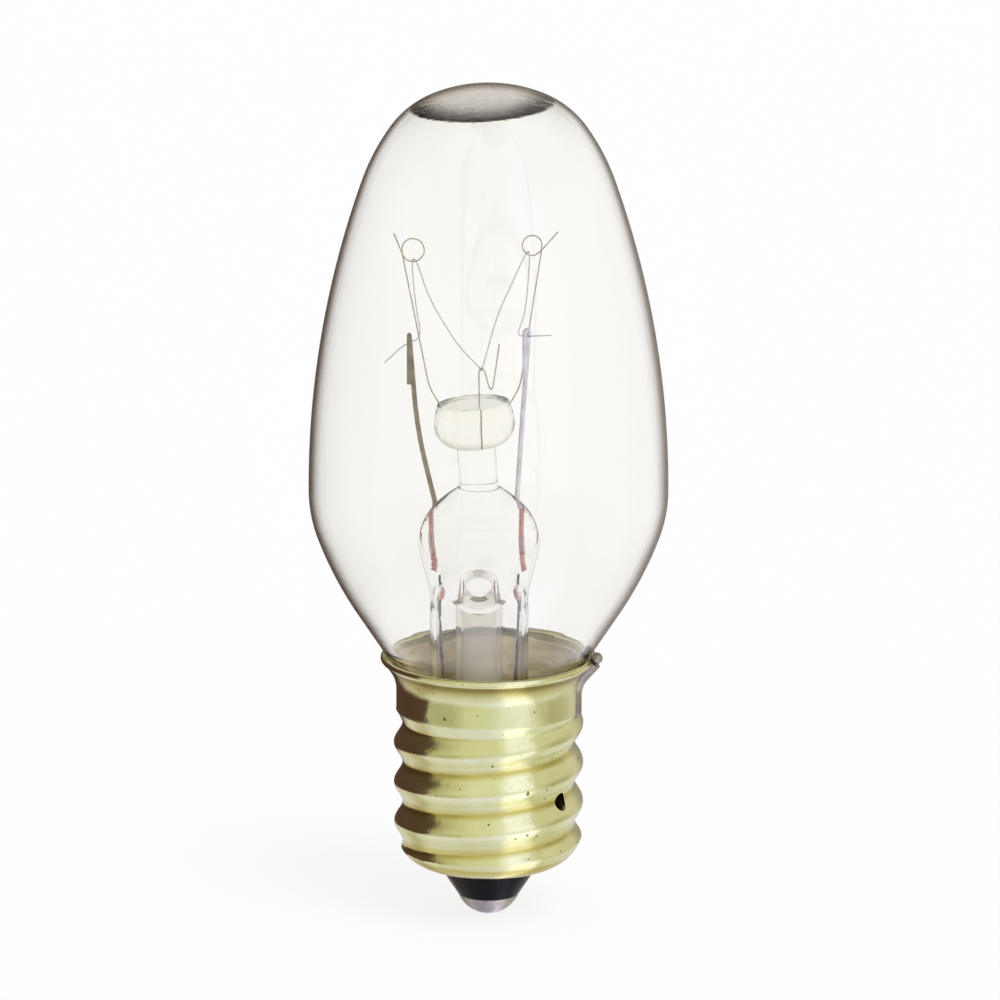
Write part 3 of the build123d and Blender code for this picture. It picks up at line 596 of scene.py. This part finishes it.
def flare_points(inset):
    """The flare above the collar as (radius, height) points."""
    top = COLLAR_Z + COLLAR_LEN
    bend = FLARE_BEND + inset
    angle = math.radians(FLARE_ANGLE)
    cx = COLLAR_R - inset + bend
    points = [
        (
            cx - bend * math.cos(angle * i / FLARE_STEPS),
            top + bend * math.sin(angle * i / FLARE_STEPS),
        )
        for i in range(FLARE_STEPS + 1)
    ]
    gain = FLARE_BEND * (1 - math.cos(angle))
    run = (RIM_R - COLLAR_R - gain) / math.sin(angle)
    x, z = points[-1]
    return points + straight((x, z), (x + run * math.sin(angle), z + run * math.cos(angle)), 6)


def rim_bead():
    """The rolled edge of the rim, from outside over the top to inside."""
    angle = math.radians(FLARE_ANGLE)
    outer, inner = flare_points(0)[-1], flare_points(SHELL_WALL)[-1]
    cx = (outer[0] + inner[0]) / 2 - RIM_BEAD_R * math.sin(angle)
    cz = (outer[1] + inner[1]) / 2 - RIM_BEAD_R * math.cos(angle)
    points = []
    for i in range(BEAD_STEPS + 1):
        t = math.radians(BEAD_START + BEAD_SWEEP * i / BEAD_STEPS)
        out, up = RIM_BEAD_R * math.cos(t), RIM_BEAD_R * math.sin(t)
        points.append(
            (
                cx + out * math.cos(angle) + up * math.sin(angle),
                cz - out * math.sin(angle) + up * math.cos(angle),
            )
        )
    return points


def round_ring(r, z):
    """Ring of (radius, angle, height) points."""
    return [(r, TURN * s / SHELL_SEGMENTS, z) for s in range(SHELL_SEGMENTS)]


def shell_surface(inset, low):
    """Rings of the shell's skin from a height near the lip to the rim."""
    rings = []
    for row in range(SHELL_ROWS + 1):
        z = low + (COLLAR_Z - low) * row / SHELL_ROWS
        ring = []
        for s in range(SHELL_SEGMENTS):
            theta = TURN * s / SHELL_SEGMENTS
            r = min(thread_radius(theta, z, inset), limit_radius(z, inset))
            r = max(r, collar_radius(z, inset))
            ring.append((r, theta, z))
        rings.append(ring)
    collar = [(COLLAR_R - inset, COLLAR_Z + COLLAR_LEN * i / 4) for i in range(1, 4)]
    return rings + [round_ring(r, z) for r, z in collar + flare_points(inset)]


def shell_mesh():
    """Both skins of the shell, joined at the lip and by the bead of the rim."""
    inner_lip_z = LIP_Z + SHELL_WALL / math.cos(math.radians(BOTTOM_SLOPE))
    outside = shell_surface(0, LIP_Z + LIP_STEP)
    inside = shell_surface(SHELL_WALL, inner_lip_z + LIP_STEP)
    lip = [round_ring(LIP_R, inner_lip_z), round_ring(LIP_R, LIP_Z)]
    bead = [round_ring(r, z) for r, z in rim_bead()]
    rings = lip + outside[1:-1] + bead + inside[-2:0:-1]
    inner_start = len(outside) + len(bead)
    verts = [
        (r * math.cos(theta), r * math.sin(theta), z) for ring in rings for r, theta, z in ring
    ]
    faces = []
    for k in range(len(rings)):
        a, b = k * SHELL_SEGMENTS, (k + 1) % len(rings) * SHELL_SEGMENTS
        for s in range(SHELL_SEGMENTS):
            t = (s + 1) % SHELL_SEGMENTS
            faces.append((a + s, a + t, b + t, b + s))
    obj = mesh_object("screw_shell", verts, faces)
    obj.data.materials.append(brass_mat)
    obj.data.materials.append(inside_brass_mat)
    for face in obj.data.polygons[inner_start * SHELL_SEGMENTS :]:
        face.material_index = INSIDE
    return obj


def vent_cutter():
    """Slanted rounded bar that cuts the vent slot."""
    half = VENT_LEN / 2 - VENT_WIDTH / 2
    outline = [(x, z + half) for x, z in arc(0, 0, VENT_WIDTH / 2, 0, 180, 16)]
    outline += [(x, z - half) for x, z in arc(0, 0, VENT_WIDTH / 2, 180, 360, 16)]
    tilt = math.radians(VENT_TILT)
    turn = math.radians(VENT_AZIMUTH)
    verts = []
    for reach in (-VENT_REACH, VENT_REACH):
        for x, z in outline:
            side = x * math.cos(tilt) - z * math.sin(tilt)
            rise = x * math.sin(tilt) + z * math.cos(tilt)
            out = CREST_R + reach
            verts.append(
                (
                    out * math.cos(turn) - side * math.sin(turn),
                    out * math.sin(turn) + side * math.cos(turn),
                    VENT_Z + rise,
                )
            )
    count = len(outline)
    faces = [tuple(range(count))[::-1], tuple(range(count, 2 * count))]
    faces += [(i, (i + 1) % count, (i + 1) % count + count, i + count) for i in range(count)]
    return mesh_object("vent_cutter", verts, faces, smooth=False)


def cut_away(obj, cutter):
    """Cutter taken out of obj for good."""
    trim = obj.modifiers.new("vent", "BOOLEAN")
    trim.object = cutter
    trim.operation = "DIFFERENCE"
    trim.solver = "EXACT"
    depsgraph = bpy.context.evaluated_depsgraph_get()
    cut = bpy.data.meshes.new_from_object(obj.evaluated_get(depsgraph))
    obj.modifiers.clear()
    obj.data = cut
    bpy.data.objects.remove(cutter)
    cut.polygons.foreach_set("use_smooth", [True] * len(cut.polygons))


shell = shell_mesh()
cut_away(shell, vent_cutter())
sharpen(shell, 50)
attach(shell, "root")
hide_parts("base_shell")


# Filament: a fine coil along the route of the wire, from the left tail to the right one
FILAMENT_ROUTE = [
    Vector(point)
    for point in (
        (-6.33, -0.189, 35.05),
        (-5.13, -0.189, 36.2),
        (-4.23, -0.189, 36.5),
        (-4.167, -0.169, 37.165),
        (-4.423, -0.139, 38.389),
        (-4.696, -0.267, 41.446),
        (-4.426, 0.138, 41.446),
        (-3.605, -0.135, 38.968),
        (-1.956, -0.229, 36.223),
        (-0.86, -0.097, 35.005),
        (-0.44, -0.097, 34.585),
        (-0.44, -0.502, 34.585),
        (-0.3, -0.502, 35.005),
        (0.492, -0.19, 37.924),
        (2.275, -0.257, 41.894),
        (2.545, 0.148, 41.894),
        (2.265, -0.11, 38.223),
        (1.746, -0.134, 36.8),
        (2.046, -0.134, 36.65),
        (3.846, -0.134, 36.725),
    )
]


def rounded_line(points, reach, steps):
    """Points of a line whose corners are rounded."""
    line = [points[0]]
    for before, corner, after in zip(points, points[1:], points[2:]):
        cut_in = min(reach, (corner - before).length * 0.45)
        cut_out = min(reach, (after - corner).length * 0.45)
        start = corner + (before - corner).normalized() * cut_in
        end = corner + (after - corner).normalized() * cut_out
        for i in range(steps + 1):
            t = i / steps
            line.append(start * (1 - t) ** 2 + corner * 2 * t * (1 - t) + end * t**2)
    line.append(points[-1])
    return line


def evenly(line, step):
    """Points at an even distance along a line."""
    points, need = [line[0]], step
    for a, b in zip(line, line[1:]):
        length = (b - a).length
        along = need
        while along < length:
            points.append(a.lerp(b, along / length))
            along += step
        need = along - length
    return points


def tube(name, line, radius, sides):
    """Closed tube along a line, its ring carried on from point to point without a twist."""
    verts, faces = [], []
    across = Vector((0, 1, 0))
    count = len(line)
    for i, point in enumerate(line):
        along = (line[min(i + 1, count - 1)] - line[max(i - 1, 0)]).normalized()
        across = (across - along * across.dot(along)).normalized()
        third = along.cross(across)
        for k in range(sides):
            a = TURN * k / sides
            verts.append(point + radius * (across * math.cos(a) + third * math.sin(a)))
    for i in range(count - 1):
        for k in range(sides):
            m = (k + 1) % sides
            a, b = i * sides, (i + 1) * sides
            faces.append((a + k, a + m, b + m, b + k))
    faces.append(tuple(range(sides))[::-1])
    faces.append(tuple(range((count - 1) * sides, count * sides)))
    return mesh_object(name, verts, faces)


def coil_line(line, radius, pitch, steps):
    """Helix round a line."""
    centres = evenly(line, pitch / steps)
    across = Vector((0, 1, 0))
    helix = []
    for i, point in enumerate(centres):
        along = (centres[min(i + 1, len(centres) - 1)] - centres[max(i - 1, 0)]).normalized()
        across = (across - along * across.dot(along)).normalized()
        third = along.cross(across)
        a = TURN * i / steps
        helix.append(point + radius * (across * math.cos(a) + third * math.sin(a)))
    return helix


middle = rounded_line(FILAMENT_ROUTE, COIL_BEND, steps=8)
turns = coil_line(middle, COIL_R - COIL_WIRE_R, COIL_PITCH, COIL_STEPS)
filament = tube("filament_coil", turns, COIL_WIRE_R, COIL_SIDES)
filament.data.materials.append(filament_mat)
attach(filament, "root")
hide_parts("filament")

# Supports: fine wires from the button, the outer two with a ring and a tail at the top
SUPPORT_ROUTES = {
    "left": (
        (-2.586, 0.5, 31.6),
        (-3.636, 0.5, 33.35),
        (-5.35, 0.092, 42.247),
        (-4.784, 0.055, 42.769),
        (-4.042, 0.018, 42.56),
        (-3.831, -0.018, 41.82),
        (-4.35, -0.055, 41.251),
        (-5.106, -0.092, 41.393),
        (-5.74, -0.11, 43.05),
    ),
    "centre": (
        (-0.52, -0.3, 30.3),
        (-0.6, -0.3, 34.72),
        (-0.28, -0.3, 34.72),
        (0.06, -0.3, 33.4),
        (0.26, -0.3, 33.4),
        (0.66, -0.3, 36.22),
    ),
    "right": (
        (0.874, 0.5, 31.6),
        (1.924, 0.5, 33.35),
        (3.309, 0.092, 42.495),
        (2.867, 0.055, 42.925),
        (2.259, 0.018, 42.815),
        (1.996, -0.018, 42.257),
        (2.296, -0.055, 41.718),
        (2.909, -0.092, 41.649),
        (4.23, -0.11, 43.15),
    ),
}
for side, route in SUPPORT_ROUTES.items():
    line = rounded_line([Vector(point) for point in route], SUPPORT_BEND, steps=10)
    wire = tube("support_wire_" + side, line, SUPPORT_R, SUPPORT_SIDES)
    wire.data.materials.append(support_mat)
    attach(wire, "root")
    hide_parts("support_" + side)

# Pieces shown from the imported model
shown = {
    "stem": stem_mat,
    "exhaust_tube": tube_mat,
    "inner_lead_left": lead_mat,
    "inner_lead_right": pale_lead_mat,
    "seal_wire_left": copper_mat,
    "seal_wire_right": copper_mat,
    "outer_lead_left": dark_lead_mat,
    "outer_lead_right": dark_lead_mat,
    "basing_cement": cement_mat,
    "insulator": insulator_mat,
    "contact_eyelet": brass_mat,
    "contact_solder": solder_mat,
    "side_solder": solder_mat,
}
for node, mat in shown.items():
    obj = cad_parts[node]
    obj.data.materials.clear()
    obj.data.materials.append(mat)

# Camera
elevation = math.radians(CAMERA_ELEVATION)
aim = Vector(CAMERA_AIM)
cam_data = bpy.data.cameras.new("camera")
cam = bpy.data.objects.new("camera", cam_data)
bpy.context.collection.objects.link(cam)
back = Vector((0, -math.cos(elevation), math.sin(elevation)))
cam.location = aim + back * (CAMERA_DISTANCE * MM)
cam.rotation_mode = "QUATERNION"
cam.rotation_quaternion = (-back).to_track_quat("-Z", "Y")
cam_data.sensor_width = SENSOR_WIDTH
cam_data.lens = PIXELS_PER_MM * CAMERA_DISTANCE * SENSOR_WIDTH / PICTURE_WIDTH
cam_data.shift_x, cam_data.shift_y = LENS_SHIFT
cam_data.clip_start = 0.01
cam_data.clip_end = 10
bpy.context.scene.camera = cam


# Studio: what glossy surfaces see in each direction round the lamp
def studio_group():
    """Group that turns a direction into the studio's light there."""
    tree = bpy.data.node_groups.new("studio", "ShaderNodeTree")
    tree.interface.new_socket("Direction", in_out="INPUT", socket_type="NodeSocketVector")
    tree.interface.new_socket("Colour", in_out="OUTPUT", socket_type="NodeSocketColor")
    tree.interface.new_socket("Behind glass", in_out="OUTPUT", socket_type="NodeSocketColor")
    nodes, links = tree.nodes, tree.links
    inlet = nodes.new("NodeGroupInput")
    outlet = nodes.new("NodeGroupOutput")
    unit = nodes.new("ShaderNodeVectorMath")
    unit.operation = "NORMALIZE"
    links.new(inlet.outputs[0], unit.inputs[0])
    parts = nodes.new("ShaderNodeSeparateXYZ")
    links.new(unit.outputs[0], parts.inputs[0])

    def maths(operation, first, second, added=0.5):
        """Result of a maths node; the third value counts for MULTIPLY_ADD alone."""
        result = nodes.new("ShaderNodeMath")
        result.operation = operation
        for socket, value in zip(result.inputs, (first, second, added)):
            if isinstance(value, (int, float)):
                socket.default_value = value
            else:
                links.new(value, socket)
        return result.outputs[0]

    def by_angle(stops):
        """Ramp on an angle from -180 to 180 degrees, 0 at the front and 90 at the right."""
        return ramp_of(nodes, links, azimuth, [((a + 180) / 360, colour) for a, colour in stops])

    def blend(share, first, second):
        """Two colours mixed by a share."""
        mixer = nodes.new("ShaderNodeMix")
        mixer.data_type = "RGBA"
        links.new(share, mixer.inputs[0])
        links.new(first, mixer.inputs[6])
        links.new(second, mixer.inputs[7])
        return mixer.outputs[2]

    front = maths("MULTIPLY", parts.outputs["Y"], -1.0)
    azimuth = maths("ARCTAN2", parts.outputs["X"], front)
    azimuth = maths("MULTIPLY_ADD", azimuth, 1 / TURN)
    level = by_angle(WALL_LIGHT)
    low = by_angle(FLOOR_LIGHT)
    high = by_angle(CEILING_LIGHT)
    # Heights from 0 to 1 stand for sines from -1 to 1 of the angle above the horizon
    height = maths("MULTIPLY_ADD", parts.outputs["Z"], 0.5)
    to_floor = ramp_of(nodes, links, height, [(0.27, 1.0), (0.325, 0.0)])
    to_ceiling = ramp_of(nodes, links, height, [(0.54, 0.0), (0.66, 1.0)])
    # Painted shadow: the light just off straight down is dimmed, for the lamp's shadow on the floor
    # round its foot
    under = [(0.0, 1.0), (0.03, (0.86, 0.83, 0.68)), (0.09, (0.93, 0.91, 0.8)), (0.16, 1.0)]
    painted_shadow_below = ramp_of(nodes, links, height, under)
    light = blend(to_ceiling, blend(to_floor, level, low), high)
    links.new(multiply(nodes, links, light, painted_shadow_below), outlet.inputs[0])
    dim = ramp_of(nodes, links, height, [(0.60, 1.0), (0.78, BEHIND_GLASS_HIGH)])
    links.new(dim, outlet.inputs[1])
    return tree


studio = studio_group()


def studio_light(nodes, links, direction, plain, output):
    """Plain shading, with the studio's light for gloss, and white for the camera and through glass.

    A refracted ray counts as glossy too, so the mix for glossy rays comes first.
    """
    path = nodes.new("ShaderNodeLightPath")
    seen = nodes.new("ShaderNodeMath")
    seen.operation = "MAXIMUM"
    links.new(path.outputs["Is Camera Ray"], seen.inputs[0])
    links.new(path.outputs["Is Transmission Ray"], seen.inputs[1])
    group = nodes.new("ShaderNodeGroup")
    group.node_tree = studio
    links.new(direction, group.inputs[0])
    kind = "ShaderNodeBackground" if output.node.type == "OUTPUT_WORLD" else "ShaderNodeEmission"
    white, gloss = nodes.new(kind), nodes.new(kind)
    links.new(group.outputs[1], white.inputs[0])
    links.new(group.outputs[0], gloss.inputs[0])
    for share, light in ((path.outputs["Is Glossy Ray"], gloss), (seen.outputs[0], white)):
        mix = nodes.new("ShaderNodeMixShader")
        links.new(share, mix.inputs[0])
        links.new(plain, mix.inputs[1])
        links.new(light.outputs[0], mix.inputs[2])
        plain = mix.outputs[0]
    links.new(plain, output)
    return seen, path


# Floor
FLOOR_HALF = 700
FLOOR_Z = -0.02
STUDIO_CENTRE = (0, 0, 0.012)
square = ((-1, -1), (1, -1), (1, 1), (-1, 1))
corners = [(x * FLOOR_HALF, y * FLOOR_HALF, FLOOR_Z) for x, y in square]
floor = mesh_object("floor", corners, [(0, 1, 2, 3)], smooth=False)
floor_mat, n, l, p = material(
    "pale floor", Base_Color=(0.96, 0.96, 0.96, 1), Roughness=0.9, Specular_IOR_Level=0.0
)
place = n.new("ShaderNodeNewGeometry")
centred = n.new("ShaderNodeVectorMath")
centred.operation = "SUBTRACT"
centred.inputs[1].default_value = STUDIO_CENTRE
l.new(place.outputs["Position"], centred.inputs[0])
surface = n["Material Output"].inputs["Surface"]
seen, path = studio_light(n, l, centred.outputs[0], p.outputs[0], surface)
# The camera sees the floor mostly white, with a little of its own shading for the shadow
camera_share = n.new("ShaderNodeMath")
camera_share.operation = "MULTIPLY"
camera_share.inputs[1].default_value = FLOOR_WHITE
l.new(path.outputs["Is Camera Ray"], camera_share.inputs[0])
l.new(camera_share.outputs[0], seen.inputs[0])
floor.data.materials.append(floor_mat)

# World
world = bpy.data.worlds.new("studio")
bpy.context.scene.world = world
world.use_nodes = True
n, l = world.node_tree.nodes, world.node_tree.links
ambient = n["Background"]
ambient.inputs["Color"].default_value = (1, 1, 1, 1)
ambient.inputs["Strength"].default_value = AMBIENT_STRENGTH
way = n.new("ShaderNodeTexCoord")
surface = n["World Output"].inputs["Surface"]
studio_light(n, l, way.outputs["Generated"], ambient.outputs[0], surface)

# Soft key light from the upper right front
key_data = bpy.data.lights.new("key", "SUN")
key_data.angle = math.radians(KEY_SPREAD)
key_data.energy = KEY_ENERGY
key = bpy.data.objects.new("key", key_data)
bpy.context.collection.objects.link(key)
key.rotation_mode = "QUATERNION"
key.rotation_quaternion = Vector(KEY_WAY).to_track_quat("-Z", "Y")
key.visible_glossy = False
key.visible_transmission = False

bpy.context.scene.view_settings.view_transform = "Standard"
